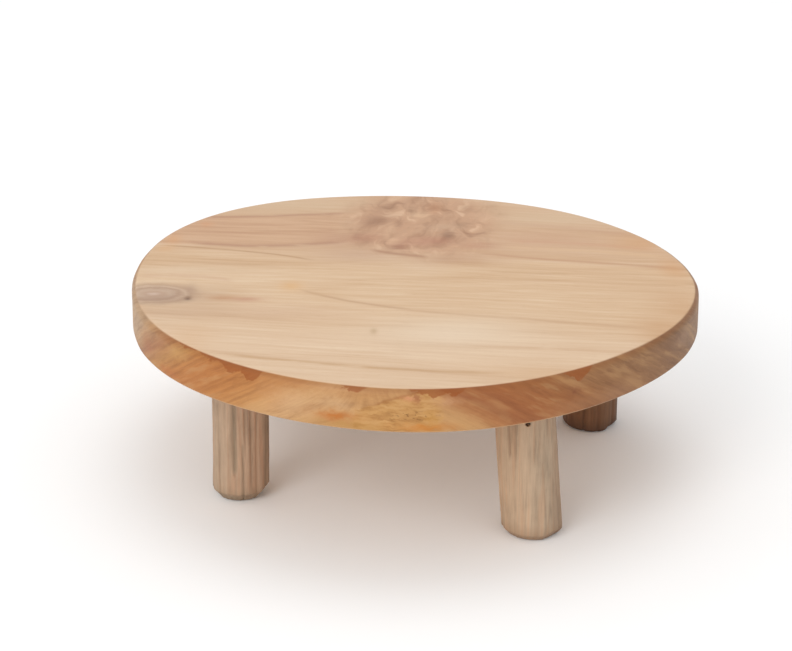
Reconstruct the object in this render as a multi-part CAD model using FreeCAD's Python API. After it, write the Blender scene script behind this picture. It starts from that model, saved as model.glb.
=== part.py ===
import FreeCAD, Part
import math
import os

from FreeCAD import Vector

# Rustic wooden cake stand: a thick round board on four short hewn legs.
# Each leg is held by a glued dowel, and a brad through the leg pins the dowel.
# Millimetres. +Z is up, -Y is the front, and the origin is on the table under the
# middle of the board's outline.

# Whole stand
HEIGHT = 100.0
BOARD_THICKNESS = 22.0
LEG_LENGTH = HEIGHT - BOARD_THICKNESS

# Board. It was sawn round by hand, so its radius wanders by a few millimetres.
BOARD_RADIUS = 149.0
# Each wander is (crests per turn, height in mm, direction of one crest in degrees).
OUTLINE_WANDERS = ((2, 2.8, -45.0), (3, 2.9, 16.5), (4, 0.7, 42.0), (5, 1.1, -10.0))
OUTLINE_POINTS = 40
TOP_EDGE_ROUND = 3.5
UNDER_EDGE_ROUND = 2.0

# Legs: split from branch wood and hewn to an uneven twelve-sided section.
FACETS = 12
# Each unevenness of the section is (crests per turn, share of the leg's radius).
FACET_WANDERS = ((2, 0.03), (3, 0.02), (5, 0.015))
# How far a foot is taken in at the table, as a share of its bevel's height.
FOOT_BEVEL_SLOPE = 0.8

# Joinery in each leg
DOWEL_DIAMETER = 10.0
DOWEL_IN_BOARD = 14.0
DOWEL_IN_LEG = 24.0
DOWEL_END_BEVEL = 1.0
GLUE_GAP = 0.05
GLUE_WELL = 1.0
BRAD_BELOW_BOARD = 15.0
BRAD_DIAMETER = 1.8
BRAD_LENGTH = 22.0
BRAD_POINT_LENGTH = 2.5
BRAD_HEAD_DIAMETER = 2.6
BRAD_HEAD_THICKNESS = 0.8
BRAD_SET_DEPTH = 0.6
BRAD_CLEARANCE = 0.02

# Where each leg stands: its foot's centre, how far its top leans from there, its
# radius, the height of the bevel round its foot, the turn of its section in degrees,
# and the side that its brad is driven from in degrees.
LEGS = {
    "front_left": {
        "foot": (-89.7, -48.0), "lean": (1.0, 1.5), "radius": 14.1,
        "foot_bevel": 4.5, "turn": 8.0, "brad_side": 152.0,
    },
    "front_right": {
        "foot": (59.5, -89.5), "lean": (-5.7, 2.0), "radius": 15.0,
        "foot_bevel": 3.0, "turn": 40.0, "brad_side": 272.0,
    },
    "back_right": {
        "foot": (98.8, 46.6), "lean": (-0.3, -1.5), "radius": 15.3,
        "foot_bevel": 1.5, "turn": 75.0, "brad_side": 15.0,
    },
    "back_left": {
        "foot": (-49.7, 87.9), "lean": (1.5, -2.5), "radius": 14.8,
        "foot_bevel": 3.0, "turn": 110.0, "brad_side": 112.0,
    },
}


def polar(radius, degrees):
    """A level vector of that length and direction."""
    angle = math.radians(degrees)
    return Vector(radius * math.cos(angle), radius * math.sin(angle), 0)


def outline_point(degrees):
    """A point of the board's outline, measured from the middle of the saw's turn."""
    radius = BOARD_RADIUS
    for crests, height, crest in OUTLINE_WANDERS:
        radius += height * math.cos(crests * math.radians(degrees - crest))
    return polar(radius, degrees)


def outline_middle():
    """The middle of the outline's extents, which the origin lies under."""
    points = [outline_point(degrees) for degrees in range(360)]
    low = Vector(min(p.x for p in points), min(p.y for p in points), 0)
    high = Vector(max(p.x for p in points), max(p.y for p in points), 0)
    return (low + high) * 0.5


def level_edges(shape, z):
    """The edges that lie wholly at that height."""
    return [
        edge for edge in shape.Edges
        if abs(edge.BoundBox.ZMin - z) < 1e-3 and abs(edge.BoundBox.ZMax - z) < 1e-3
    ]


def leg_centre(leg, z):
    """The centre of the leaning leg at that height."""
    share = z / LEG_LENGTH
    foot_x, foot_y = leg["foot"]
    lean_x, lean_y = leg["lean"]
    return Vector(foot_x + lean_x * share, foot_y + lean_y * share, z)


def dowel_cylinder(leg, low_z, high_z, grown=0.0):
    """The upright cylinder round the dowel's axis, which meets the leg's top centre."""
    base = leg_centre(leg, LEG_LENGTH)
    base.z = low_z
    return Part.makeCylinder(DOWEL_DIAMETER / 2 + grown, high_z - low_z, base)


def make_board():
    """The round board, with its sanded edges and one blind hole for each dowel."""
    middle = outline_middle()
    step = 360.0 / OUTLINE_POINTS
    points = [outline_point(i * step) - middle for i in range(OUTLINE_POINTS)]
    curve = Part.BSplineCurve()
    curve.interpolate(Points=points, PeriodicFlag=True)
    face = Part.Face(Part.Wire(curve.toShape()))
    face.translate(Vector(0, 0, LEG_LENGTH))
    board = face.extrude(Vector(0, 0, BOARD_THICKNESS))
    board = board.makeFillet(TOP_EDGE_ROUND, level_edges(board, HEIGHT))
    board = board.makeFillet(UNDER_EDGE_ROUND, level_edges(board, LEG_LENGTH))
    hole_top = LEG_LENGTH + DOWEL_IN_BOARD + GLUE_WELL
    for leg in LEGS.values():
        board = board.cut(dowel_cylinder(leg, LEG_LENGTH, hole_top, GLUE_GAP))
    return board


def leg_section(leg, z, inset=0.0):
    """The leg's uneven section at a height, taken in all round by an inset."""
    centre = leg_centre(leg, z)
    corners = []
    for i in range(FACETS):
        degrees = leg["turn"] + i * 360.0 / FACETS
        share = 1.0
        for crests, height in FACET_WANDERS:
            share += height * math.cos(crests * math.radians(degrees + leg["turn"]))
        corners.append(centre + polar(leg["radius"] * share - inset, degrees))
    return Part.makePolygon(corners + corners[:1])


def leg_body(leg):
    """The leg before boring: a leaning faceted prism with a bevelled foot."""
    bevel = leg["foot_bevel"]
    sections = [
        leg_section(leg, 0, inset=bevel * FOOT_BEVEL_SLOPE),
        leg_section(leg, bevel),
        leg_section(leg, LEG_LENGTH),
    ]
    return Part.makeLoft(sections, True, True)


def brad_line(leg):
    """Where the brad enters the leg, and its direction towards the dowel's axis."""
    height = LEG_LENGTH - BRAD_BELOW_BOARD
    aim = leg_centre(leg, LEG_LENGTH)
    aim.z = height
    outward = polar(1.0, leg["brad_side"])
    probe = Part.makeLine(aim, aim + outward * leg["radius"] * 2)
    entry = max(
        (vertex.Point for vertex in leg_body(leg).common(probe).Vertexes),
        key=lambda point: (point - aim).Length,
    )
    return entry, outward * -1


def make_brad(leg, grown=0.0):
    """The brad, with its head set below the leg's surface, grown by a clearance."""
    entry, inward = brad_line(leg)
    face = entry + inward * BRAD_SET_DEPTH
    shank_length = BRAD_LENGTH - BRAD_POINT_LENGTH
    shank_end = face + inward * shank_length
    head = Part.makeCylinder(
        BRAD_HEAD_DIAMETER / 2 + grown, BRAD_HEAD_THICKNESS + grown, face, inward
    )
    shank = Part.makeCylinder(BRAD_DIAMETER / 2 + grown, shank_length, face, inward)
    point = Part.makeCone(
        BRAD_DIAMETER / 2 + grown, 0, BRAD_POINT_LENGTH + grown, shank_end, inward
    )
    return head.fuse(shank).fuse(point).removeSplitter()


def brad_hole(leg):
    """What the brad, and the punch that sets its head, leave open in the wood."""
    entry, inward = brad_line(leg)
    mouth = entry - inward * BRAD_HEAD_DIAMETER
    punched = Part.makeCylinder(
        BRAD_HEAD_DIAMETER / 2 + BRAD_CLEARANCE,
        BRAD_HEAD_DIAMETER + BRAD_SET_DEPTH, mouth, inward,
    )
    return punched.fuse(make_brad(leg, BRAD_CLEARANCE)).removeSplitter()


def make_leg(leg):
    """A leg with its blind dowel hole and its brad's hole."""
    hole_end = LEG_LENGTH - DOWEL_IN_LEG - GLUE_WELL
    body = leg_body(leg).cut(dowel_cylinder(leg, hole_end, LEG_LENGTH, GLUE_GAP))
    return body.cut(brad_hole(leg))


def make_dowel(leg):
    """A dowel with bevelled ends, pierced by its brad."""
    dowel = dowel_cylinder(leg, LEG_LENGTH - DOWEL_IN_LEG, LEG_LENGTH + DOWEL_IN_BOARD)
    rims = [edge for edge in dowel.Edges if isinstance(edge.Curve, Part.Circle)]
    return dowel.makeChamfer(DOWEL_END_BEVEL, rims).cut(brad_hole(leg))


def save(shape, name):
    """Checks one sub-part and writes it to its own file."""
    assert shape.isValid() and len(shape.Solids) == 1, name
    solid = shape.Solids[0]
    solid.exportStep(os.path.join("parts", name + ".step"))
    print(f"{name}: {solid.Volume / 1000:.2f} cm3")


def main():
    os.makedirs("parts", exist_ok=True)
    save(make_board(), "top_board")
    for place, leg in LEGS.items():
        save(make_leg(leg), "leg_" + place)
        save(make_dowel(leg), "dowel_" + place)
        save(make_brad(leg), "brad_" + place)


main()
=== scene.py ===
import math
from types import SimpleNamespace

import bmesh
import bpy
import numpy as np
from mathutils import Matrix, Vector, noise


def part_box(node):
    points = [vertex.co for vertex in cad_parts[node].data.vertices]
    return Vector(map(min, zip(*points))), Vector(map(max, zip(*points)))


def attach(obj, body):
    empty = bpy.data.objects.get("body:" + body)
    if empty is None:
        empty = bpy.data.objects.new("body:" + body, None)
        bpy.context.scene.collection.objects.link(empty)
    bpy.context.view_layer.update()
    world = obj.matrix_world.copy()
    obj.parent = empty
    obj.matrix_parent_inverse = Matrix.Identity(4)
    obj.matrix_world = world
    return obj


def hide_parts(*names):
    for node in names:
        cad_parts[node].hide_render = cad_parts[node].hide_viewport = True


# The looks of a rustic wooden cake stand: a round oiled board on four hewn legs.
# Places are in the frame's own axes: meshes in metres, and shader formulas and the tables
# they use in millimetres. Directions round the stand are in degrees, counter-clockwise
# from +X, so the front is at -90.

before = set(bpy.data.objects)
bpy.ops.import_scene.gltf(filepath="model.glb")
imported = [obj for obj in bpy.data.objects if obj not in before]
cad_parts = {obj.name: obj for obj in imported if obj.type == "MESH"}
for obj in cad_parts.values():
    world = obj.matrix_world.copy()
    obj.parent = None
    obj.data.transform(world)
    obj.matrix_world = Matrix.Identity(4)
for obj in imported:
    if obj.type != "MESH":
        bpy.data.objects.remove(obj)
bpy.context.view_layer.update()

MM = 0.001
LEGS = ("leg_front_left", "leg_front_right", "leg_back_right", "leg_back_left")
DOWELS = [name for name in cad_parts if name.startswith("dowel_")]
BRADS = [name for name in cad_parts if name.startswith("brad_")]

BOARD_LOW, BOARD_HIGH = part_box("top_board")
BOARD_TOP = BOARD_HIGH.z
BOARD_UNDERSIDE = BOARD_LOW.z
BOARD_DEPTH = (BOARD_TOP - BOARD_UNDERSIDE) / MM
BOARD_REACH = (BOARD_HIGH.x - BOARD_LOW.x) / 2 / MM

# Room round the fasteners
GLUE_GAP = 0.05 * MM
GLUE_WELL = 1.0 * MM
BRAD_GAP = 0.03 * MM

# A brad's hole: how far outside the head its cut starts, how deep the head's seat is, and
# the shank's part of the hole as a share of the head's radius
PUNCH_RUN = 5 * MM
HEAD_SEAT = 0.85 * MM
SHANK_SHARE = 0.72


# ---------------------------------------------------------------- shader formulas

# The studio light shows colours this much brighter than their own values.
LIGHT_GAIN = 1.15


def rgb(red, green, blue):
    """The shader's linear values for a colour as it shows in the studio, from 0 to 255."""
    linear = []
    for value in (red, green, blue):
        share = value / 255
        linear.append(share / 12.92 if share <= 0.04045 else ((share + 0.055) / 1.055) ** 2.4)
    return (*(value / LIGHT_GAIN for value in linear), 1.0)


def times(red, green, blue):
    """What to multiply a colour's linear values by."""
    return (red, green, blue, 1.0)


class Field:
    """A number that varies over a surface. Formulas on it add shader nodes."""

    def __init__(self, tree, socket):
        self.tree = tree
        self.socket = socket

    def apply(self, operation, *others):
        return calculate(self.tree, operation, self, *others)

    def __add__(self, other):
        return self.apply("ADD", other)

    def __sub__(self, other):
        return self.apply("SUBTRACT", other)

    def __mul__(self, other):
        return self.apply("MULTIPLY", other)

    def __truediv__(self, other):
        return self.apply("DIVIDE", other)

    def squared(self):
        return self.apply("MULTIPLY", self)

    def root(self):
        return self.apply("SQRT")

    def absolute(self):
        return self.apply("ABSOLUTE")

    def at_least(self, other):
        return self.apply("MAXIMUM", other)

    def times_plus(self, factor, more):
        """This number times a factor, and something added."""
        return self.apply("MULTIPLY_ADD", factor, more)

    def faded(self):
        """1 where this number is 0, falling towards 0 as it grows."""
        return calculate(self.tree, "POWER", 1 / math.e, self)

    def rise(self, low, high):
        """0 below low, 1 above high, and smooth between. It falls if low is above high."""
        node = self.tree.nodes.new("ShaderNodeMapRange")
        node.interpolation_type = "SMOOTHSTEP"
        feed(self.tree, self, node.inputs["Value"])
        node.inputs["From Min"].default_value = low
        node.inputs["From Max"].default_value = high
        return Field(self.tree, node.outputs["Result"])

    def band(self, low, high, soft):
        """1 between low and high, with soft shoulders outside."""
        return self.rise(low - soft, low) * self.rise(high + soft, high)

    def hill(self, centre, width):
        """1 at the centre, falling off smoothly on both sides."""
        return self.times_plus(1 / width, -centre / width).squared().faded()

    def colours(self, *stops):
        """A colour that goes through (position, colour) stops."""
        node = self.tree.nodes.new("ShaderNodeValToRGB")
        feed(self.tree, self, node.inputs["Fac"])
        ramp = node.color_ramp
        while len(ramp.elements) < len(stops):
            ramp.elements.new(0.5)
        for element, (position, colour) in zip(ramp.elements, stops):
            element.position = position
            element.color = colour
        return node.outputs["Color"]


def calculate(tree, operation, *values):
    """Adds a shader node that works out one number from others."""
    node = tree.nodes.new("ShaderNodeMath")
    node.operation = operation
    for entry, value in zip(node.inputs, values):
        feed(tree, value, entry)
    return Field(tree, node.outputs[0])


def feed(tree, value, entry):
    """Links a field or socket to a node's input, or sets a plain value on it."""
    if isinstance(value, Field):
        value = value.socket
    if isinstance(value, bpy.types.NodeSocket):
        tree.links.new(value, entry)
    else:
        entry.default_value = value


class Surface:
    """A material under construction, with its own coordinates in millimetres."""

    def __init__(self, name):
        self.material = bpy.data.materials.new(name)
        self.material.use_nodes = True
        self.tree = self.material.node_tree
        self.shader = self.tree.nodes["Principled BSDF"]
        coordinates = self.tree.nodes.new("ShaderNodeTexCoord")
        self.normal = coordinates.outputs["Normal"]
        metres = self.parts(coordinates.outputs["Object"])
        self.x, self.y, self.z = (part * (1 / MM) for part in metres)

    def parts(self, vector):
        """The three numbers of a vector."""
        node = self.tree.nodes.new("ShaderNodeSeparateXYZ")
        self.tree.links.new(vector, node.inputs[0])
        return [Field(self.tree, socket) for socket in node.outputs]

    def vector(self, x, y, z):
        """A vector socket from three numbers."""
        node = self.tree.nodes.new("ShaderNodeCombineXYZ")
        for entry, value in zip(node.inputs, (x, y, z)):
            feed(self.tree, value, entry)
        return node.outputs[0]

    def away(self, place, centre, reach):
        """The squared distance of a flat place from a centre, 1 on an oval round it."""
        shift = self.tree.nodes.new("ShaderNodeVectorMath")
        shift.operation = "MULTIPLY_ADD"
        self.tree.links.new(place, shift.inputs[0])
        shift.inputs[1].default_value = (1 / reach[0], 1 / reach[1], 0)
        shift.inputs[2].default_value = (-centre[0] / reach[0], -centre[1] / reach[1], 0)
        square = self.tree.nodes.new("ShaderNodeVectorMath")
        square.operation = "DOT_PRODUCT"
        self.tree.links.new(shift.outputs["Vector"], square.inputs[0])
        self.tree.links.new(shift.outputs["Vector"], square.inputs[1])
        return Field(self.tree, square.outputs["Value"])

    def noise(self, x, y, z, detail=2.0, rough=0.5):
        """Cloudy noise from 0 to 1 at a place in noise cells."""
        node = self.tree.nodes.new("ShaderNodeTexNoise")
        node.inputs["Scale"].default_value = 1.0
        node.inputs["Detail"].default_value = detail
        node.inputs["Roughness"].default_value = rough
        self.tree.links.new(self.vector(x, y, z), node.inputs["Vector"])
        return Field(self.tree, node.outputs[0])

    def attribute(self, name):
        """A number that the mesh holds at each of its points."""
        node = self.tree.nodes.new("ShaderNodeAttribute")
        node.attribute_name = name
        return Field(self.tree, node.outputs["Fac"])

    def mix(self, share, first, second, blend="MIX"):
        """The first colour where the share is 0, and the second blended in where it is 1."""
        node = self.tree.nodes.new("ShaderNodeMix")
        node.data_type = "RGBA"
        node.blend_type = blend
        feed(self.tree, share, node.inputs["Factor"])
        colours = [entry for entry in node.inputs if entry.type == "RGBA"]
        feed(self.tree, first, colours[0])
        feed(self.tree, second, colours[1])
        return next(out for out in node.outputs if out.type == "RGBA")

    def finish(self, colour, roughness, heights):
        """Sets the shader's colour, roughness and bumps, each a (height, depth in metres)."""
        feed(self.tree, colour, self.shader.inputs["Base Color"])
        feed(self.tree, roughness, self.shader.inputs["Roughness"])
        normal = None
        for height, depth in heights:
            node = self.tree.nodes.new("ShaderNodeBump")
            node.inputs["Distance"].default_value = depth
            feed(self.tree, height, node.inputs["Height"])
            if normal:
                self.tree.links.new(normal, node.inputs["Normal"])
            normal = node.outputs["Normal"]
        self.tree.links.new(normal, self.shader.inputs["Normal"])
        return self.material


# ---------------------------------------------------------------- board wood

# The board was sawn from a trunk whose pith ran above it: how the grain turns from +X,
# where the pith is across the grain and above the face, and how steeply it dives.
GRAIN_TURN = -6.0
PITH_SIDE = -21.0
PITH_ABOVE = 80.0
PITH_DIVE = 0.046

# The large knot near the back, the small one at the left edge, and the pit beside that.
BIG_KNOT = (5.0, 98.0)
BIG_KNOT_REACH = (42.0, 60.0)
SMALL_KNOT = (-134.0, -22.0)
SMALL_KNOT_REACH = (21.0, 15.0)
PIT = (-116.0, -28.0)

# Curves on the face, each through three places: the pinker band left of the large knot,
# and the dark rim in front of that knot.
PINK_BAND = ((-130, 83), (-80, 81), (-34, 88))
KNOT_RIM = ((-24, 50), (-9, 42.5), (8, 38))

# Single lines of the grain on the face: the three places that each goes through, its half
# width, how strongly it shows, and its colour.
FACE_LINES = (
    ((-130, 104), (-80, 107), (-34, 114), 2.5, 0.70, (182, 134, 104)),
    ((-128, 62), (-75, 55.5), (-30, 66), 2.8, 0.68, (180, 132, 102)),
    ((-142, 56), (-108, 50), (-50, 30), 1.2, 0.62, (178, 134, 92)),
    ((-62, -13), (-38, -28), (2, -44), 1.6, 0.55, (188, 148, 112)),
    ((-12, -42), (55, -56), (126, -70), 1.7, 0.45, (194, 152, 114)),
    ((30, 45), (78, 33.5), (148, 20), 1.9, 0.55, (190, 140, 104)),
    ((38, 15), (58, 12), (84, 12), 2.0, 0.30, (198, 158, 118)),
    ((44, 99), (84, 88), (126, 74), 3.0, 0.42, (198, 154, 122)),
    ((46, 88), (80, 79), (128, 66), 2.4, 0.40, (222, 188, 152)),
    ((48, 66), (88, 61), (136, 50), 2.6, 0.38, (206, 152, 120)),
    ((44, 54), (80, 50), (140, 38), 2.8, 0.42, (226, 190, 148)),
    ((46, 30), (84, 24), (140, 12), 2.4, 0.36, (226, 192, 152)),
    ((-30, -88), (20, -94), (96, -96), 1.8, 0.30, (204, 166, 128)),
    ((-134, 30), (-104, 26), (-66, 20), 2.4, 0.30, (206, 170, 134)),
    ((-98, -102), (-25, -120), (48, -128), 2.0, 0.62, (192, 150, 104)),
    ((20, -92), (60, -96), (112, -102), 1.5, 0.32, (202, 160, 122)),
    ((-62, 1), (40, 1), (146, -8), 1.6, 0.24, (200, 160, 122)),
    ((-147, 5), (-122, 6), (-92, -2), 2.6, 0.30, (200, 154, 124)),
)

# Soft oval tints of the face: centre, reach along x and y, how strongly each shows, and
# its colour.
FACE_TINTS = (
    (-70, 127, 45, 12, 0.50, (214, 186, 152)),
    (70, 68, 36, 18, 0.40, (206, 161, 130)),
    (84, 106, 42, 14, 0.50, (220, 193, 160)),
    (-28, 40, 26, 13, 0.52, (198, 160, 134)),
    (-42, 66, 16, 14, 0.40, (186, 138, 110)),
    (-70, -48, 34, 12, 0.30, (208, 172, 144)),
    (-117, 92, 4, 5, 0.35, (218, 152, 104)),
    (-133, 66, 4, 9, 0.40, (222, 160, 104)),
    (-136, 50, 5, 6, 0.30, (222, 168, 112)),
    (124, 62, 16, 14, 0.50, (212, 158, 108)),
    (138, 20, 8, 16, 0.50, (212, 156, 104)),
    (112, 0, 30, 30, 0.22, (208, 168, 130)),
    (136, -38, 13, 24, 0.52, (202, 154, 108)),
    (122, -74, 13, 22, 0.55, (202, 154, 108)),
    (-64, -9, 6, 8, 0.65, (222, 174, 118)),
    (-98, -27, 9, 4.5, 0.70, (198, 142, 94)),
    (-86, -29.5, 8, 3.5, 0.65, (196, 140, 110)),
    (-112, -24, 22, 14, 0.45, (188, 154, 126)),
    (20, -74, 40, 22, 0.45, (240, 222, 197)),
    (-120, 15, 30, 8, 0.45, (230, 204, 174)),
    (4, 24, 14, 12, 0.30, (228, 200, 172)),
    (25, 36, 22, 12, 0.40, (196, 150, 118)),
    (-20, -74, 1.8, 4.5, 0.55, (184, 152, 112)),
    (-120, -48, 30, 12, 0.35, (204, 172, 146)),
    (62, -128, 30, 9, 0.40, (212, 168, 124)),
    (-110, -86, 12, 22, 0.30, (216, 170, 124)),
)

# Dark eyes and pale ridges in and round the large knot, given like the tints.
KNOT_MARKS = (
    (-20, 99, 9, 11, 0.60, (152, 108, 80)),
    (-16, 123, 5, 9, 0.42, (158, 118, 88)),
    (-28, 69, 9, 8, 0.50, (172, 114, 86)),
    (19, 76, 4, 8, 0.65, (138, 96, 68)),
    (12, 66, 9, 6, 0.50, (178, 118, 90)),
    (-8, 55, 4, 5, 0.65, (156, 102, 74)),
    (-9, 95, 2.2, 8, 0.45, (158, 114, 84)),
    (26, 91, 4, 5, 0.50, (152, 114, 82)),
    (30, 122, 4, 7, 0.40, (164, 124, 92)),
    (-2, 117, 2.2, 6, 0.60, (146, 106, 76)),
    (12, 123, 4, 11, 0.45, (186, 128, 88)),
    (36, 56, 10, 7, 0.45, (184, 128, 98)),
    (18, 34, 14, 9, 0.35, (188, 146, 114)),
    (2, 63, 13, 7, 0.45, (200, 146, 118)),
    (3, 110, 5, 5, 0.60, (228, 190, 152)),
    (-14, 84, 3, 13, 0.50, (222, 180, 144)),
    (-12, 66, 4, 5, 0.50, (226, 184, 148)),
    (16, 88, 9, 6, 0.35, (212, 178, 148)),
    (38, 108, 5, 9, 0.40, (218, 178, 144)),
    (-2, 48, 12, 2.6, 0.45, (218, 174, 142)),
)

# Marks in and beside the small knot, given like the tints. The last one is the pit.
SMALL_KNOT_MARKS = (
    (-130, -29, 14, 4.5, 0.60, (168, 134, 110)),
    (-116, -14, 3, 9, 0.35, (176, 144, 122)),
    (*PIT, 1.8, 2.3, 0.85, (122, 90, 66)),
)

# Dark marks on the sawn edge under the top arris: middle direction, half length in degrees, depth
# reached.
# The first two are a painted shadow under the arris; the others are stains.
ARRIS_STAINS_AND_SHADOWS = (
    (-138, 4.0, 2.2), (-131, 4.0, 2.8), (-125.0, 3.3, 5.0), (-120.6, 2.3, 7.0),
    (-99.8, 2.6, 3.4), (-85.5, 3.8, 4.4), (-82, 2.2, 4.4), (-57.3, 3.0, 5.8),
)

# Smaller marks on the sawn edge: direction, depth below the face, reach along it in
# degrees and down it, how strongly each shows, and its colour.
EDGE_MARKS = (
    (-141, 6.0, 3.2, 3.0, 0.45, (204, 156, 92)),
    (-145, 18.0, 3.4, 1.8, 0.45, (184, 104, 46)),
    (-154, 12.0, 3.0, 5.0, 0.40, (170, 104, 66)),
    (-112, 12.0, 4.5, 7.0, 0.45, (214, 172, 128)),
    (-113, 2.0, 8.0, 4.0, 0.50, (174, 112, 60)),
    (-98, 2.5, 8.0, 4.0, 0.40, (168, 110, 62)),
    (-58, 18.0, 5.0, 4.0, 0.45, (176, 126, 84)),
    (-48, 18.0, 5.0, 4.0, 0.45, (172, 126, 92)),
    (-24, 10.0, 4.5, 4.0, 0.40, (172, 136, 108)),
    (-116, 9.0, 3.0, 4.5, 0.40, (190, 132, 80)),
    (-103, 9.5, 3.0, 3.0, 0.45, (208, 168, 126)),
    (-103, 15.6, 3.4, 2.5, 0.90, (188, 110, 42)),
    (-101, 19.5, 5.0, 1.8, 0.50, (178, 130, 60)),
    (-90, 4.2, 1.0, 1.5, 0.60, (216, 146, 108)),
    (-88.8, 3.8, 0.6, 2.6, 0.65, (150, 80, 44)),
    (-83.5, 6.0, 2.4, 2.4, 0.50, (206, 158, 116)),
    (-86.3, 14.0, 1.4, 3.2, 0.50, (190, 134, 54)),
    (-87, 18.8, 4.6, 1.9, 0.75, (200, 126, 50)),
    (-58.2, 10.5, 1.2, 2.6, 0.55, (132, 76, 46)),
    (-27, 6.0, 1.4, 2.0, 0.40, (120, 78, 50)),
)

# Dark streaks down the sawn edge: direction and half width.
EDGE_STREAK = (-75.3, 1.9)
SIDE_STREAK = (-71.5, 1.4)

# A patch of the edge where bark was ground away: the directions that it lies between, the
# depth above which its left side slants to the right, and by how many degrees a
# millimetre.
BARK_LEFT, BARK_RIGHT = -100.0, -84.5
BARK_CORNER_DEPTH = 11.5
BARK_SLANT = 1.05

# The middle of the saw's turn, which the edge's directions are measured from.
EDGE_MIDDLE = (-2.6, 2.8)

# Tones round the sawn edge by direction.
EDGE_TONES = (
    (-180, (180, 146, 116)),
    (-163, (188, 154, 120)),
    (-157, (182, 138, 96)),
    (-151, (172, 116, 74)),
    (-145, (184, 132, 76)),
    (-139, (188, 124, 66)),
    (-133, (180, 114, 58)),
    (-126, (186, 122, 64)),
    (-118, (194, 138, 82)),
    (-110, (206, 160, 112)),
    (-99, (198, 150, 98)),
    (-84, (194, 146, 96)),
    (-79, (178, 120, 74)),
    (-70, (162, 98, 54)),
    (-60, (156, 98, 54)),
    (-52, (160, 112, 70)),
    (-40, (152, 108, 70)),
    (-28, (142, 100, 64)),
    (-18, (148, 110, 76)),
    (0, (158, 118, 84)),
    (50, (182, 130, 84)),
    (90, (192, 140, 90)),
    (140, (180, 130, 88)),
    (180, (180, 146, 116)),
)


def board_wood():
    """Oiled wood: a pale sanded face, darker sawn edges and a rougher underside."""
    wood = Surface("board_wood")
    grain = board_grain(wood)
    upward = wood.parts(wood.normal)[2]
    steep = upward.absolute().rise(0.98, 0.86)
    colour = wood.mix(steep, face_colour(wood, grain), edge_colour(wood, grain))

    saw_marks = wood.noise(wood.x * 0.5, wood.y * 0.012, 31.0, detail=2.0)
    under = saw_marks.colours((0.35, rgb(196, 158, 124)), (0.65, rgb(214, 178, 144)))
    colour = wood.mix(upward.rise(-0.5, -0.9) * 0.6, colour, under)

    pores = wood.noise(grain.along * 0.16, grain.across * 3.2, wood.z * 3.2, detail=1.0)
    colour = wood.mix(pores.rise(0.36, 0.28) * 0.16, colour, rgb(150, 100, 62))
    roughness = grain.tone * -0.25 + 0.66
    wood.shader.inputs["Specular IOR Level"].default_value = 0.3
    return wood.finish(colour, roughness, [(grain.fibres, 0.00012), (pores, 0.00006)])


def board_grain(wood):
    """The fields that the board's colours are worked out from, in millimetres."""
    grain = SimpleNamespace(depth=(wood.z * -1) + BOARD_TOP / MM)
    turn = math.radians(GRAIN_TURN)
    along = wood.x * math.cos(turn) + wood.y * math.sin(turn)
    across = wood.y * math.cos(turn) - wood.x * math.sin(turn)

    # Slow wander of the grain
    sway = wood.noise(along * 0.006, across * 0.02, wood.z * 0.02, detail=1.0) - 0.5
    ripple = wood.noise(along * 0.02, across * 0.06, wood.z * 0.06, detail=2.0) - 0.5
    wander = sway * 12 + ripple * 3
    grain.along = along
    grain.across = across + wander
    grain.x = wood.x
    grain.y = wood.y + ripple * 5

    # Distances from the knots, 1 at their rims
    flat = wood.vector(wood.x, wood.y, 0)
    wobble = wood.noise(wood.x * 0.035, wood.y * 0.035, wood.z * 0.035,
                        detail=3.0, rough=0.6) - 0.5
    grain.big = wood.away(flat, BIG_KNOT, BIG_KNOT_REACH).root() + wobble * 0.5
    grain.small = wood.away(flat, SMALL_KNOT, SMALL_KNOT_REACH).root() + wobble * 0.35

    # Growth rings: distance from the pith, pushed out of shape round each knot
    pith_height = along * -PITH_DIVE + grain.depth + PITH_ABOVE
    ring = ((grain.across - PITH_SIDE).squared() + pith_height.squared()).root()
    burl = wood.noise(wood.x * 0.05, wood.y * 0.05, wood.z * 0.05, detail=2.0, rough=0.6) - 0.5
    ring = ring - grain.big.hill(0, 0.9) * 14 - grain.small.hill(0, 1.0) * 10
    grain.ring = ring + grain.big.hill(0, 0.8) * burl * 50

    # Tones across the rings, from broad bands to fine fibres
    broad = wood.noise(grain.ring * 0.05, along * 0.002, 0.0, detail=1.0)
    bands = wood.noise(grain.ring * 0.16, along * 0.004, 3.0, detail=2.0, rough=0.55)
    streaks = wood.noise(grain.ring * 0.5, along * 0.010, 7.0, detail=2.0, rough=0.6)
    threads = wood.noise(along * 0.018, grain.across * 0.30, wood.z * 0.3, detail=3.0, rough=0.6)
    grain.broken = wood.noise(along * 0.05, grain.across * 0.15, 17.0, detail=2.0).rise(0.15, 0.5)
    grain.fibres = wood.noise(along * 0.06, grain.across * 1.6, wood.z * 1.6,
                              detail=2.0, rough=0.6)
    grain.tone = (broad * 0.22 + bands * 0.24 + streaks * 0.16 + threads * 0.28
                  + grain.fibres * 0.10)
    return grain


def tint(wood, x, y, colour, spots):
    """Lays soft oval spots over a colour."""
    place = wood.vector(x, y, 0)
    for centre_x, centre_y, reach_x, reach_y, strength, spot_colour in spots:
        spot = wood.away(place, (centre_x, centre_y), (reach_x, reach_y)).faded()
        colour = wood.mix(spot * strength, colour, rgb(*spot_colour))
    return colour


def curve(x, y, places):
    """How far a point lies from a curve through three places, measured along y."""
    bend, slope, start = (float(value) for value in np.polyfit(*zip(*places), 2))
    return y - x.times_plus(bend, slope).times_plus(x, start)


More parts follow.
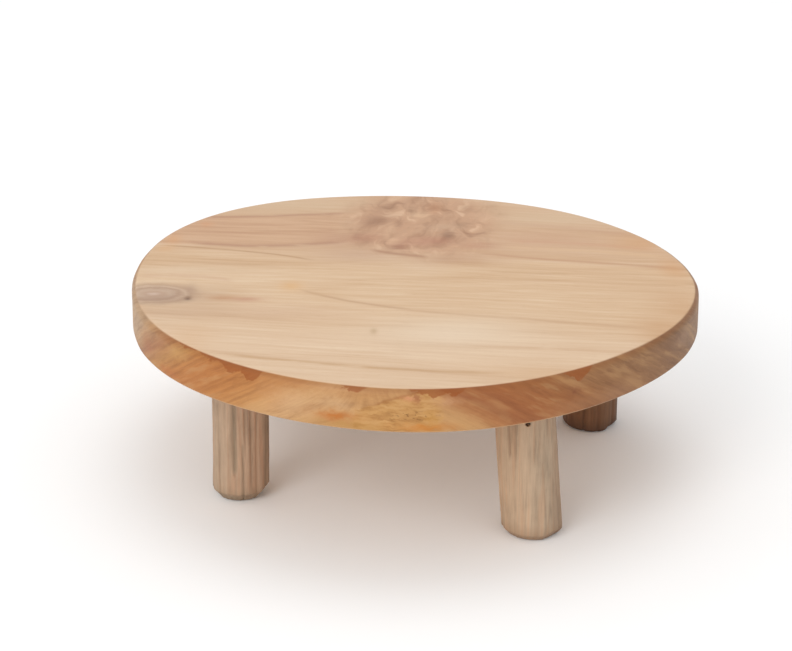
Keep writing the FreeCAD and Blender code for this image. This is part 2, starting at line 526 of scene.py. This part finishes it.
def face_colour(wood, grain):
    """The pale face with its bands, single lines, tints and knots."""
    face = grain.tone.colours(
        (0.36, rgb(200, 160, 120)),
        (0.45, rgb(215, 179, 141)),
        (0.53, rgb(223, 190, 154)),
        (0.64, rgb(234, 207, 174)),
    )
    x, y = grain.x, grain.y

    # The back of the board is pinker, most of all in one band, and its front is paler
    back = grain.across.rise(20, 58)
    face = wood.mix(back * 0.45, face, rgb(203, 162, 129))
    front = grain.across.rise(-35, -95)
    face = wood.mix(front * 0.30, face, rgb(232, 205, 178))
    pink_band = curve(x, y, PINK_BAND).band(-22, 22, 5) * x.rise(-30, -48)
    band_tone = wood.mix(grain.tone.rise(0.42, 0.56), rgb(192, 144, 110), rgb(210, 166, 130))
    face = wood.mix(pink_band * 0.60, face, band_tone)

    face = single_lines(wood, grain, face)
    face = tint(wood, x, y, face, FACE_TINTS)
    face = big_knot(wood, grain, face)
    return small_knot(wood, grain, face)


def single_lines(wood, grain, face):
    """The strongest lines of the grain, broken here and there and faded at their ends."""
    x, y = grain.x, grain.y
    for *places, width, strength, colour in FACE_LINES:
        first, last = places[0][0], places[2][0]
        fade = (last - first) / 7
        line = curve(x, y, places).hill(0, width) * x.band(first + fade, last - fade, fade)
        face = wood.mix(line * grain.broken * strength, face, rgb(*colour))
    return face


def big_knot(wood, grain, face):
    """The large knot: curled grain, dark eyes and pale ridges, and a dark rim in front."""
    x, y = grain.x, grain.y
    face = wood.mix(grain.big.rise(1.25, 0.70) * 0.85, face, knot_swirls(wood))
    ragged_x = x + (grain.tone - 0.5) * 14
    ragged_y = y + (grain.tone - 0.5) * 30
    face = tint(wood, ragged_x, ragged_y, face, KNOT_MARKS)
    rim = curve(x, y, KNOT_RIM).hill(0, 2.4) * x.band(-18, 2, 8)
    return wood.mix(rim * 0.55, face, rgb(164, 114, 82))


def knot_swirls(wood):
    """Curled pinkish grain: pale ridges and dark folds that run towards the back."""
    fold = wood.noise(wood.x * 0.055, wood.y * 0.026, wood.z * 0.05, detail=2.0) - 0.5
    swirl = wood.noise(wood.x * 0.085 + fold * 3.2, wood.y * 0.034 + fold * 2.4,
                       wood.z * 0.08, detail=3.0, rough=0.55)
    return swirl.colours(
        (0.32, rgb(164, 118, 86)),
        (0.43, rgb(186, 141, 108)),
        (0.50, rgb(197, 153, 120)),
        (0.56, rgb(202, 156, 122)),
        (0.66, rgb(222, 182, 148)),
    )


def small_knot(wood, grain, face):
    """A greyish knot of smudged rings inside each other, with a dark pit beside it."""
    smudge = wood.noise(wood.x * 0.12, wood.y * 0.16, 5.0, detail=3.0, rough=0.6) - 0.5
    rings = (grain.small + smudge * 0.45).colours(
        (0.00, rgb(212, 186, 170)),
        (0.25, rgb(186, 154, 132)),
        (0.45, rgb(194, 166, 144)),
        (0.66, rgb(174, 141, 117)),
        (0.80, rgb(204, 174, 148)),
        (0.95, rgb(178, 144, 117)),
    )
    face = wood.mix((grain.small + smudge * 0.3).rise(1.35, 0.80) * 0.80, face, rings)
    return tint(wood, grain.x, grain.y, face, SMALL_KNOT_MARKS)


def edge_colour(wood, grain):
    """The sawn edge: darker and more orange, with a bark patch, small marks and stains."""
    depth = grain.depth
    x, y = wood.x - EDGE_MIDDLE[0], wood.y - EDGE_MIDDLE[1]
    ruffle = wood.noise(x * 0.06, y * 0.06, depth * 0.09, detail=3.0, rough=0.6) - 0.5
    rag = wood.noise(x * 0.22, y * 0.22, depth * 0.30, detail=3.0, rough=0.6) - 0.5
    edge = SimpleNamespace(
        x=x, y=y, depth=depth, direction=bearing(x, y), ruffle=ruffle, rag=rag,
    )
    colour = edge_grain(wood, grain, edge)
    colour = bark_patch(wood, edge, colour)
    colour = tint(wood, edge.direction + rag * 5, depth + rag * 6, colour, EDGE_MARKS)
    return arrises(wood, edge, colour)


def edge_grain(wood, grain, edge):
    """Tones round the edge, mottled by grain that leans two ways, and dark streaks."""
    x, y, depth, ruffle = edge.x, edge.y, edge.depth, edge.ruffle

    # The place slid along the edge, so that a leaning grain line has one direction
    lean = x.rise(-50, 10) * -3.4 + 1.7
    slide = lean * (depth - BOARD_DEPTH / 2) / BOARD_REACH
    slid_x = x - y * slide
    slid_y = y + x * slide
    turn = bearing(slid_x, slid_y) + ruffle * 6 + edge.rag * 1.5
    stops = [((degrees + 180) / 360, rgb(*tone)) for degrees, tone in EDGE_TONES]
    colour = ((turn + 180) / 360).colours(*stops)

    lines = wood.noise(slid_x * 0.30, slid_y * 0.30, depth * 0.05 + ruffle * 2,
                       detail=3.0, rough=0.65)
    patches = wood.noise(slid_x * 0.09, slid_y * 0.09, depth * 0.07, detail=3.0, rough=0.6)
    rings = wood.noise(grain.ring * 0.45 + ruffle * 2, grain.along * 0.012, 11.0,
                       detail=3.0, rough=0.6)
    mottle = lines * 0.36 + patches * 0.38 + rings * 0.26
    shade = mottle.colours(
        (0.37, times(0.72, 0.66, 0.60)),
        (0.50, times(0.96, 0.95, 0.92)),
        (0.62, times(1.12, 1.15, 1.14)),
    )
    colour = wood.mix(1.0, colour, shade, "MULTIPLY")
    colour = wood.mix(patches.rise(0.52, 0.66) * 0.35, colour, rgb(190, 146, 96))
    streak = turn.hill(*EDGE_STREAK) + turn.hill(*SIDE_STREAK) * 0.4
    return wood.mix(streak * 0.52, colour, rgb(142, 76, 40))


def bark_patch(wood, edge, colour):
    """An amber patch at the front where bark was ground away: wavy, with a few cracks."""
    x, y, depth, direction, rag = edge.x, edge.y, edge.depth, edge.direction, edge.rag
    slant = (depth * -1 + BARK_CORNER_DEPTH).at_least(0) * BARK_SLANT
    inside = direction - slant - BARK_LEFT + rag * 4
    right_side = (direction + rag * 5).rise(BARK_RIGHT + 1.1, BARK_RIGHT - 1.1)
    bark = inside.rise(0, 0.8) * right_side
    waves = wood.noise(x * 0.09, y * 0.09, depth * 0.50 + rag * 2, detail=3.0, rough=0.6)
    amber = waves.colours(
        (0.36, rgb(170, 118, 58)),
        (0.48, rgb(194, 143, 80)),
        (0.62, rgb(206, 158, 98)),
    )
    colour = wood.mix(bark * 0.70, colour, amber)
    fold = inside.hill(0.4, 1.0) * depth.rise(12, 5)
    colour = wood.mix(fold * 0.50, colour, rgb(148, 90, 42))
    crackle = wood.noise(x * 0.45 + rag, y * 0.2, depth * 0.9 + rag, detail=2.0, rough=0.6)
    cracks = crackle.rise(0.43, 0.36) * direction.hill(-89.5, 4.0) * depth.hill(13.2, 2.4)
    return wood.mix(cracks * 0.80, colour, rgb(112, 74, 34))


def arrises(wood, edge, colour):
    """Stains and a painted shadow under the top arris, painted shade along it, and a painted
    highlight on the lower arris.
    """
    depth = edge.depth
    ragged = edge.direction + edge.rag * 3
    # Stains under the top arris, and the painted shadow under it from the table's first rows.
    for middle, half, reach in ARRIS_STAINS_AND_SHADOWS:
        limit = ragged.hill(middle, half) * edge.rag.times_plus(7, reach)
        stain_and_shadow = (limit - depth).rise(0.6, 1.4)
        colour = wood.mix(stain_and_shadow * 0.74, colour, rgb(150, 76, 18))
    # Painted shade along the top arris at the front left, where its rounding turns from the
    # light.
    painted_arris_shade = depth.hill(0.9, 1.1) * edge.x.rise(-140, -110)
    colour = wood.mix(painted_arris_shade * 0.35, colour, rgb(142, 86, 44))
    # A painted highlight along the lower arris, at the front.
    low_arris_highlight = depth.rise(BOARD_DEPTH - 1.4, BOARD_DEPTH - 0.6) * edge.x.rise(120, 60)
    return wood.mix(low_arris_highlight * 0.45, colour, rgb(222, 176, 124))


def bearing(x, y):
    """The direction of a place from the middle, in degrees."""
    return y.apply("ARCTAN2", x) * (180 / math.pi)


# ---------------------------------------------------------------- leg wood

# Colours of each leg: its left side, its right side, and the darker colour for its grooves, right
# edge and foot.
LEG_TONES = {
    "leg_front_left": ((189, 160, 133), (192, 154, 125), (126, 110, 86)),
    "leg_front_right": ((204, 172, 141), (188, 163, 137), (146, 108, 78)),
    # The back right leg is painted dark: partly darker wood, partly painted shade from the board
    # over it.
    "leg_back_right": ((140, 94, 60), (134, 94, 64), (60, 38, 26)),
    "leg_back_left": ((186, 158, 130), (168, 140, 114), (104, 84, 64)),
}


def leg_wood(leg):
    """Weathered split wood, toned from left to right partly as painted light, with painted shade
    at its right edge and dirt and painted shade in its grooves.
    """
    wood = Surface(leg.replace("leg_", "wood_of_leg_"))
    x, y, z = wood.x, wood.y, wood.z
    low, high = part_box(leg)
    centre_x = (low.x + high.x) / 2 / MM
    left, right, dirt_and_shade = (rgb(*tone) for tone in LEG_TONES[leg])
    bands = wood.noise(x * 0.34, y * 0.34, z * 0.010, detail=2.0, rough=0.5)
    fibres = wood.noise(x * 0.85, y * 0.85, z * 0.035, detail=3.0, rough=0.6)
    splits = wood.noise(x * 2.2, y * 2.2, z * 0.10, detail=2.0, rough=0.6)
    blotches = wood.noise(x * 0.12, y * 0.12, z * 0.07, detail=3.0, rough=0.6)
    tone = bands * 0.38 + fibres * 0.28 + splits * 0.12 + blotches * 0.22
    side = (x - centre_x) / 12
    # Lighter on the left than on the right: partly painted light from the left, partly the wood's
    # own tone.
    colour = wood.mix(side.rise(-1.0, 1.0), left, right)
    # Painted shade along the leg's right edge.
    colour = wood.mix(side.rise(0.75, 1.3) * 0.35, colour, dirt_and_shade)
    shade = tone.colours(
        (0.38, times(0.64, 0.63, 0.61)),
        (0.47, times(0.88, 0.88, 0.87)),
        (0.60, times(1.08, 1.08, 1.08)),
    )
    colour = wood.mix(1.0, colour, shade, "MULTIPLY")
    pink = wood.noise(x * 0.5, y * 0.5, z * 0.02, detail=1.0).rise(0.52, 0.66)
    colour = wood.mix(pink * 0.6, colour, times(1.03, 0.90, 0.82), "MULTIPLY")
    # Dirt and painted shade darken the grooves.
    groove = wood.attribute("groove")
    colour = wood.mix(groove.rise(0.1, 1.0) * 0.55, colour, dirt_and_shade)
    # Darker towards the foot.
    foot = z.rise(10, 0)
    colour = wood.mix(foot * 0.50, colour, dirt_and_shade)
    return wood.finish(colour, 0.75, [(fibres, 0.0003), (splits, 0.0002)])


def dowel_wood():
    """Clean turned wood with fine upright fibres."""
    wood = Surface("dowel_wood")
    fibres = wood.noise(wood.x * 1.2, wood.y * 1.2, wood.z * 0.05, detail=3.0, rough=0.6)
    colour = fibres.colours((0.35, rgb(178, 138, 94)), (0.65, rgb(216, 182, 136)))
    return wood.finish(colour, 0.6, [(fibres, 0.0001)])


def brad_steel():
    """Dark steel with a bloom of rust."""
    steel = Surface("brad_steel")
    bloom = steel.noise(steel.x * 1.5, steel.y * 1.5, steel.z * 1.5, detail=3.0, rough=0.6)
    colour = bloom.colours((0.4, rgb(52, 42, 36)), (0.6, rgb(104, 62, 40)))
    steel.shader.inputs["Metallic"].default_value = 0.6
    return steel.finish(colour, bloom * 0.3 + 0.4, [(bloom, 0.00005)])


# ---------------------------------------------------------------- meshes

def grid_object(name, rings, attributes=None):
    """A closed mesh through rings of points, with a middle point capping each end."""
    rows, columns, _ = rings.shape
    points = rings.reshape(-1, 3)
    caps = np.array([rings[0].mean(axis=0), rings[-1].mean(axis=0)])
    vertices = np.vstack([points, caps])
    faces = []
    for row in range(rows - 1):
        for column in range(columns):
            after = (column + 1) % columns
            here = row * columns
            below = here + columns
            faces.append((here + column, below + column, below + after, here + after))
    first_cap, last_cap = len(points), len(points) + 1
    last_row = (rows - 1) * columns
    for column in range(columns):
        after = (column + 1) % columns
        faces.append((first_cap, column, after))
        faces.append((last_cap, last_row + after, last_row + column))
    mesh = bpy.data.meshes.new(name)
    mesh.from_pydata(vertices.tolist(), [], faces)
    for attribute, values in (attributes or {}).items():
        layer = mesh.attributes.new(attribute, "FLOAT", "POINT")
        flat = np.append(values.reshape(-1), [0.0, 0.0])
        layer.data.foreach_set("value", flat.astype(np.float32))
    mesh.polygons.foreach_set("use_smooth", [True] * len(mesh.polygons))
    obj = bpy.data.objects.new(name, mesh)
    bpy.context.collection.objects.link(obj)
    return obj


def node_points(name):
    """The points of a CAD node's mesh."""
    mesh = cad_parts[name].data
    points = np.empty(len(mesh.vertices) * 3)
    mesh.vertices.foreach_get("co", points)
    return points.reshape(-1, 3)


def polar(points, centre):
    """Directions in radians and distances of points from an upright axis."""
    away = points[:, :2] - centre[:2]
    return np.arctan2(away[:, 1], away[:, 0]), np.hypot(away[:, 0], away[:, 1])


def radius_by_direction(points, centre, directions):
    """The distance of an outline from its centre in each direction, between its points."""
    turns, radii = polar(points, centre)
    order = np.argsort(turns)
    return np.interp(directions, turns[order], radii[order], period=2 * math.pi)


def soft_noise(points, cells_per_metre, seed):
    """Smooth noise from about -1 to 1 at each point."""
    shift = Vector((seed * 17.3, seed * 9.1, seed * 5.7))
    flat = points.reshape(-1, 3)
    values = [noise.noise(Vector(p) * cells_per_metre + shift) for p in flat]
    return np.array(values).reshape(points.shape[:-1])


# ---------------------------------------------------------------- board

BOARD_COLUMNS = 600
TOP_ROWS = 84
SIDE_ROWS = 12
UNDER_ROWS = 22

# The edge's roundings in CAD and as they look, and how much the upper one varies
CAD_TOP_ROUND = 3.5 * MM
CAD_UNDER_ROUND = 2.0 * MM
TOP_ROUND = 3.6 * MM
UNDER_ROUND = 2.0 * MM
ROUND_WANDER = 0.5 * MM

# The board's edge is further from its middle than this, and every dowel hole is nearer
INSIDE_EDGE = 130 * MM

# Heights that are closer than this are the same
SAME_LEVEL = 0.01 * MM

# How far the sawn edge wanders in and out, and how much of it beside each face doesn't
SIDE_WANDER = 0.25 * MM
STILL_BAND = 1.0 * MM

# Points this near to the top, or nearer, belong to the face
FACE_LAYER = 0.1 * MM

# Where the face sank: depth, middle, and reach along x and y, in mm
FACE_DIPS = (
    (0.12, BIG_KNOT, (34, 44)),
    (0.5, PIT, (1.8, 2.2)),
)


def make_board():
    """The round board: sanded edges that wander a little, and knots that sank."""
    directions = np.linspace(-math.pi, math.pi, BOARD_COLUMNS, endpoint=False)
    rings = board_rings(directions, board_radius(directions))
    wander_edge(rings)
    sink_knots(rings)

    board = grid_object("board", rings)
    board.data.materials.append(board_wood())
    for name in DOWELS:
        cut_dowel_hole(board, name.replace("dowel_", ""))
    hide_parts("top_board")
    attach(board, "root")


def board_radius(directions):
    """How far the CAD board's edge stands from its middle in each direction."""
    points = node_points("top_board")
    centre = np.zeros(3)
    _, reach = polar(points, centre)
    low = BOARD_UNDERSIDE + CAD_UNDER_ROUND - SAME_LEVEL
    high = BOARD_TOP - CAD_TOP_ROUND + SAME_LEVEL
    edge = points[(points[:, 2] > low) & (points[:, 2] < high) & (reach > INSIDE_EDGE)]
    return radius_by_direction(edge, centre, directions)


def board_rings(directions, radius):
    """Rings of points across the face, over the edge and back across the underside."""
    unit = np.stack([np.cos(directions), np.sin(directions)], axis=1)
    rim = np.column_stack([unit * radius[:, None], np.zeros(BOARD_COLUMNS)])
    edge_round = TOP_ROUND + ROUND_WANDER * soft_noise(rim, 22, 1)
    high = BOARD_TOP - edge_round
    low = BOARD_UNDERSIDE + UNDER_ROUND

    # How far inside the edge each ring lies, its share of the way out, and its height
    rows = [(edge_round, share, BOARD_TOP)
            for share in np.linspace(1 / TOP_ROWS, 1, TOP_ROWS)]
    for angle in np.radians(np.arange(11.25, 90, 11.25)):
        inset = edge_round * (1 - math.sin(angle))
        rows.append((inset, 1, BOARD_TOP - edge_round * (1 - math.cos(angle))))
    rows += [(0, 1, high + (low - high) * share) for share in np.linspace(0, 1, SIDE_ROWS)]
    for angle in np.radians(np.arange(22.5, 91, 22.5)):
        inset = UNDER_ROUND * (1 - math.cos(angle))
        rows.append((inset, 1, low - UNDER_ROUND * math.sin(angle)))
    rows += [(UNDER_ROUND, share, BOARD_UNDERSIDE)
             for share in np.linspace(1, 0, UNDER_ROWS, endpoint=False)[1:]]

    rings = []
    for inset, share, height in rows:
        reach = (radius - inset) * share
        heights = np.broadcast_to(height, reach.shape)
        rings.append(np.column_stack([unit * reach[:, None], heights]))
    return np.array(rings)


def wander_edge(rings):
    """Moves the sawn edge in and out a little."""
    height = rings[..., 2]
    edge = (height < BOARD_TOP - STILL_BAND) & (height > BOARD_UNDERSIDE + STILL_BAND)
    wander = SIDE_WANDER * soft_noise(rings, 45, 2) * edge
    reach = np.hypot(rings[..., 0], rings[..., 1])
    rings[..., :2] *= (1 + wander / reach)[..., None]


def sink_knots(rings):
    """Lowers the face where the knots sank."""
    face = rings[..., 2] > BOARD_TOP - FACE_LAYER
    x, y = rings[..., 0] / MM, rings[..., 1] / MM
    for depth, (middle_x, middle_y), (reach_x, reach_y) in FACE_DIPS:
        away = ((x - middle_x) / reach_x) ** 2 + ((y - middle_y) / reach_y) ** 2
        rings[..., 2] -= depth * np.exp(-away) * MM * face


def cut_cylinder(obj, start, end, radius):
    """Takes a round hole out of a piece, from start to end."""
    along = end - start
    cutter_mesh = bpy.data.meshes.new("hole")
    shape = bmesh.new()
    turned = along.to_track_quat("Z", "Y").to_matrix().to_4x4()
    place = Matrix.Translation((start + end) / 2) @ turned
    bmesh.ops.create_cone(shape, cap_ends=True, segments=48, radius1=radius, radius2=radius,
                          depth=along.length, matrix=place)
    shape.to_mesh(cutter_mesh)
    shape.free()
    cutter = bpy.data.objects.new("hole", cutter_mesh)
    bpy.context.collection.objects.link(cutter)
    cut = obj.modifiers.new("hole", "BOOLEAN")
    cut.operation = "DIFFERENCE"
    cut.solver = "MANIFOLD"
    cut.object = cutter
    bpy.context.view_layer.objects.active = obj
    bpy.ops.object.modifier_apply(modifier=cut.name)
    bpy.data.objects.remove(cutter)


def cut_dowel_hole(obj, place):
    """The upright hole round a dowel, with a well for glue at each end."""
    low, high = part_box("dowel_" + place)
    middle = (low + high) / 2
    radius = (high.x - low.x) / 2 + GLUE_GAP
    start = Vector((middle.x, middle.y, low.z - GLUE_WELL))
    end = Vector((middle.x, middle.y, high.z + GLUE_WELL))
    cut_cylinder(obj, start, end, radius)


def cut_brad_hole(obj, place):
    """The hole that the brad and the punch that set it left, from outside the leg."""
    points = [Vector(point) for point in node_points("brad_" + place)]
    dowel_low, dowel_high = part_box("dowel_" + place)
    low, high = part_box("brad_" + place)
    inward = ((dowel_low + dowel_high) - (low + high)) / 2
    inward.z = 0
    inward.normalize()
    reaches = [point.dot(inward) for point in points]
    middle = (low + high) / 2
    head = middle + inward * (min(reaches) - middle.dot(inward))
    tip = middle + inward * (max(reaches) - middle.dot(inward))
    head_radius = (high.z - low.z) / 2
    outside = head - inward * PUNCH_RUN
    seat = head + inward * HEAD_SEAT
    cut_cylinder(obj, outside, seat, head_radius + BRAD_GAP)
    cut_cylinder(obj, head, tip + inward * BRAD_GAP, head_radius * SHANK_SHARE)


# ---------------------------------------------------------------- legs

LEG_COLUMNS = 144
LEG_ROWS = 96
FOOT_ROWS = 20

# About the largest radius of a leg, in mm. A foot's flat cut runs out this far from the
# leg's middle.
FULL_LEG = 16.0

# What tells a leg's levels and corners apart: its foot's bevel is below the one, and its
# corners are further from its middle than the other
BEVEL_BELOW = 10 * MM
INSIDE_CORNERS = 8 * MM

# The grooves of each leg: direction and half width in degrees, depth in mm, and the
# heights in mm between which it runs. DOWN and UP are past the leg's ends.
DOWN, UP = -9, 80
LEG_GROOVES = {
    "leg_front_left": (
        (-98, 6, 1.1, 16, UP), (-80, 2.6, 0.9, DOWN, 34), (-75, 2.6, 0.6, 24, UP),
        (-60, 3, 0.5, 8, UP), (-47, 3, 0.6, DOWN, 60), (-136, 3.5, 0.5, DOWN, 56),
        (-118, 3, 0.3, 20, UP), (-20, 4, 0.8, DOWN, UP), (30, 4, 0.7, 10, UP),
        (90, 6, 1.2, DOWN, UP), (170, 5, 0.8, DOWN, UP),
    ),
    "leg_front_right": (
        (-129, 4.5, 0.9, 44, UP), (-106, 2.5, 0.3, 10, UP), (-79, 2, 0.6, 26, 31),
        (-63, 3, 0.4, DOWN, UP), (-30, 3, 0.5, DOWN, UP), (20, 4, 0.8, DOWN, UP),
        (120, 5, 0.9, DOWN, UP), (190, 4, 0.7, DOWN, 70),
    ),
    "leg_back_right": (
        (-108, 3, 0.7, DOWN, UP), (-78, 3, 0.5, DOWN, UP), (-40, 4, 0.7, DOWN, 70),
        (40, 4, 0.8, DOWN, UP), (110, 6, 1.0, DOWN, UP), (200, 4, 0.6, 10, UP),
    ),
    "leg_back_left": (
        (-90, 4, 0.7, DOWN, UP), (-20, 3, 0.8, DOWN, UP), (50, 5, 1.1, DOWN, UP),
        (110, 3, 0.6, DOWN, 60), (150, 4, 0.8, 20, UP), (230, 4, 0.7, DOWN, UP),
    ),
}

# How far a groove wanders to either side, in degrees, and the length over which each of
# its ends fades, in mm.
GROOVE_WANDER = 1.2
GROOVE_FADE = 5

DEEPEST_GROOVE = max(depth for grooves in LEG_GROOVES.values() for _, _, depth, _, _ in grooves)

# Flat cuts on the feet: direction, distance of the cut from the leg's middle on the
# ground, and the height at which it runs out, in mm.
FOOT_CUTS = {
    "leg_front_left": ((-14, 9.3, 8.0), (-82, 11.8, 2.5)),
    "leg_front_right": ((-42, 11.6, 5.0),),
    "leg_back_right": ((-30, 12.5, 5.0),),
    "leg_back_left": ((70, 10.5, 7.0),),
}

# A flat cut acts where the leg's side faces it, with at least this cosine between them.
LEAST_FACING = 0.2

# Wear of the corners: how many columns on each side are averaged with each, and how far
# away their weight falls to 1/e.
WEAR_COLUMNS = 6
WEAR_REACH = 2.2

# How rough each leg's faces are.
LEG_RELIEF = {
    "leg_front_left": 1.0,
    "leg_front_right": 0.55,
    "leg_back_right": 0.8,
    "leg_back_left": 0.8,
}


def leg_sections(name):
    """The height, middle and corners of a leg's section at its foot, bevel and top."""
    points = node_points(name)
    heights = np.unique(np.round(points[:, 2], 5))
    bevel = max(height for height in heights if height < BEVEL_BELOW)
    sections = []
    for height in (0.0, bevel, points[:, 2].max()):
        level = points[np.abs(points[:, 2] - height) < SAME_LEVEL]
        level = np.unique(np.round(level, 6), axis=0)
        middle = (level.min(axis=0) + level.max(axis=0)) / 2
        _, reach = polar(level, middle)
        corners = level[reach > INSIDE_CORNERS]
        sections.append((height, corners.mean(axis=0), corners))
    return sections


def plain_leg(name, directions):
    """Heights up a leg, its middle at each, and its radius at each in every direction."""
    levels, centres, corners = zip(*leg_sections(name))
    radii = [softened(radius_by_direction(around, centre, directions))
             for centre, around in zip(centres, corners)]
    _, bevel, top = levels
    heights = np.concatenate([
        np.linspace(0, bevel * 2, FOOT_ROWS, endpoint=False),
        np.linspace(bevel * 2, top, LEG_ROWS - FOOT_ROWS),
    ])
    centres = np.array(centres)
    centre = np.column_stack([np.interp(heights, levels, centres[:, axis]) for axis in (0, 1)])
    radius = np.array([np.interp(heights, levels, column) for column in np.array(radii).T]).T
    return heights, centre, radius


def leg_rings(directions, heights, centre, radius):
    """Rings of points at each height, from radii round a middle."""
    unit = np.stack([np.cos(directions), np.sin(directions)], axis=1)
    flat = centre[:, None, :] + unit * radius[..., None]
    upward = np.broadcast_to(heights[:, None, None], (*radius.shape, 1))
    return np.concatenate([flat, upward], axis=2)


def make_leg(name, seed):
    """A hewn leg: softened facets, long grooves and splits, and a foot rounded by wear and cut
    flat.
    """
    directions = np.linspace(-math.pi, math.pi, LEG_COLUMNS, endpoint=False)
    heights, centre, radius = plain_leg(name, directions)
    radius = np.minimum(radius, cut_reach(name, directions, heights))

    # Relief in mm: long fibres, slow waves and grooves
    smooth = leg_rings(directions, heights, centre, radius)
    stretched = smooth * np.array([1, 1, 0.09])
    coarse = soft_noise(stretched, 330, seed)
    fine = soft_noise(stretched, 900, seed + 5)
    rough = (0.28 * coarse + 0.14 * fine) * LEG_RELIEF[name]
    waves = 0.25 * soft_noise(smooth * np.array([1, 1, 0.5]), 60, seed + 9)
    groove = groove_depths(name, directions, heights)
    shape = leg_rings(directions, heights, centre, radius + (rough + waves - groove) * MM)

    # How much dirt and painted shade each point gets: more in deep grooves and hollows of the
    # relief.
    dirt_and_shade = groove / DEEPEST_GROOVE - rough * 0.5
    leg = grid_object(name.replace("leg_", "hewn_leg_"), shape[::-1], {"groove": dirt_and_shade[::-1]})
    leg.data.materials.append(leg_wood(name))
    place = name.replace("leg_", "")
    cut_dowel_hole(leg, place)
    cut_brad_hole(leg, place)
    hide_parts(name)
    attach(leg, "root")


def softened(radii):
    """Radii round a section with its corners rounded by wear, by a running average."""
    steps = np.arange(-WEAR_COLUMNS, WEAR_COLUMNS + 1)
    weights = np.exp(-(steps / WEAR_REACH) ** 2)
    padded = np.concatenate([radii[-WEAR_COLUMNS:], radii, radii[:WEAR_COLUMNS]])
    return np.convolve(padded, weights / weights.sum(), mode="valid")


def turned_from(directions, degrees):
    """How far directions in radians lie from one in degrees, from -180 to 180 degrees."""
    return (np.degrees(directions) - degrees + 180) % 360 - 180


def groove_depths(name, directions, heights):
    """The depth of the grooves at each height and direction, in mm."""
    z = heights[:, None] / MM
    depths = np.zeros((len(heights), LEG_COLUMNS))
    for direction, width, depth, low, high in LEG_GROOVES[name]:
        wander = GROOVE_WANDER * np.sin(z / 17 + direction)
        away = turned_from(directions[None, :], direction + wander)
        begun = np.clip((z - low) / GROOVE_FADE + 0.5, 0, 1)
        unended = np.clip((high - z) / GROOVE_FADE + 0.5, 0, 1)
        depths = np.maximum(depths, depth * (begun * unended) * np.exp(-(away / width) ** 2))
    return depths


def cut_reach(name, directions, heights):
    """The farthest that the flat cuts on a foot let its surface reach, in metres."""
    reach = np.full((len(heights), LEG_COLUMNS), 1.0)
    for direction, distance, height in FOOT_CUTS[name]:
        facing = np.cos(np.radians(turned_from(directions[None, :], direction)))
        plane = (distance + (FULL_LEG - distance) * heights[:, None] / MM / height) * MM
        cut = plane / np.maximum(facing, LEAST_FACING)
        reach = np.where(facing > LEAST_FACING, np.minimum(reach, cut), reach)
    return reach


# ---------------------------------------------------------------- stage

def make_floor():
    """A wide white floor under the feet."""
    bpy.ops.mesh.primitive_plane_add(size=12, location=(0, 0, -0.0005))
    floor = bpy.context.object
    floor.name = "floor"
    material = bpy.data.materials.new("floor")
    material.use_nodes = True
    shader = material.node_tree.nodes["Principled BSDF"]
    shader.inputs["Base Color"].default_value = (0.95, 0.95, 0.95, 1)
    shader.inputs["Roughness"].default_value = 0.9
    floor.data.materials.append(material)


def make_light(name, place, size, power):
    """A round white lamp aimed at the stand."""
    light = bpy.data.lights.new(name, "AREA")
    light.shape = "DISK"
    light.size = size
    light.energy = power
    lamp = bpy.data.objects.new(name, light)
    lamp.location = place
    aim = Vector((0, 0, 0.08)) - Vector(place)
    lamp.rotation_euler = aim.to_track_quat("-Z", "Y").to_euler()
    bpy.context.collection.objects.link(lamp)


def make_lighting():
    """An even white room, with a broad soft lamp from the front left and one from above."""
    world = bpy.data.worlds.new("studio")
    world.use_nodes = True
    background = world.node_tree.nodes["Background"]
    background.inputs["Color"].default_value = (1, 1, 1, 1)
    background.inputs["Strength"].default_value = 0.86
    bpy.context.scene.world = world
    bpy.context.scene.view_settings.view_transform = "Standard"
    make_light("key", (-2.2, -3.4, 2.4), 2.8, 75)
    make_light("top", (0.2, 0.6, 4.2), 2.6, 24)


def make_camera():
    """A long lens from the front, a little above the board."""
    lens = bpy.data.cameras.new("camera")
    lens.lens = 100
    lens.sensor_width = 36
    camera = bpy.data.objects.new("camera", lens)
    pitch, yaw, roll = math.radians(21.06), math.radians(-0.38), math.radians(0.1)
    target = Vector((-0.0095, 0.0, 0.0747))
    distance = 1.1618
    turned = (
        Matrix.Rotation(-yaw, 4, "Z")
        @ Matrix.Rotation(math.pi / 2 - pitch, 4, "X")
        @ Matrix.Rotation(roll, 4, "Z")
    )
    back = turned @ Vector((0, 0, 1))
    camera.matrix_world = Matrix.Translation(target + back * distance) @ turned
    bpy.context.collection.objects.link(camera)
    bpy.context.scene.camera = camera


def dress(nodes, make_material):
    """Gives CAD nodes a material in place of their plain one."""
    for name in nodes:
        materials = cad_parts[name].data.materials
        materials.clear()
        materials.append(make_material())


make_board()
for seed, name in enumerate(LEGS, start=1):
    make_leg(name, seed)
dress(DOWELS, dowel_wood)
dress(BRADS, brad_steel)
make_floor()
make_lighting()
make_camera()

bpy.context.view_layer.update()
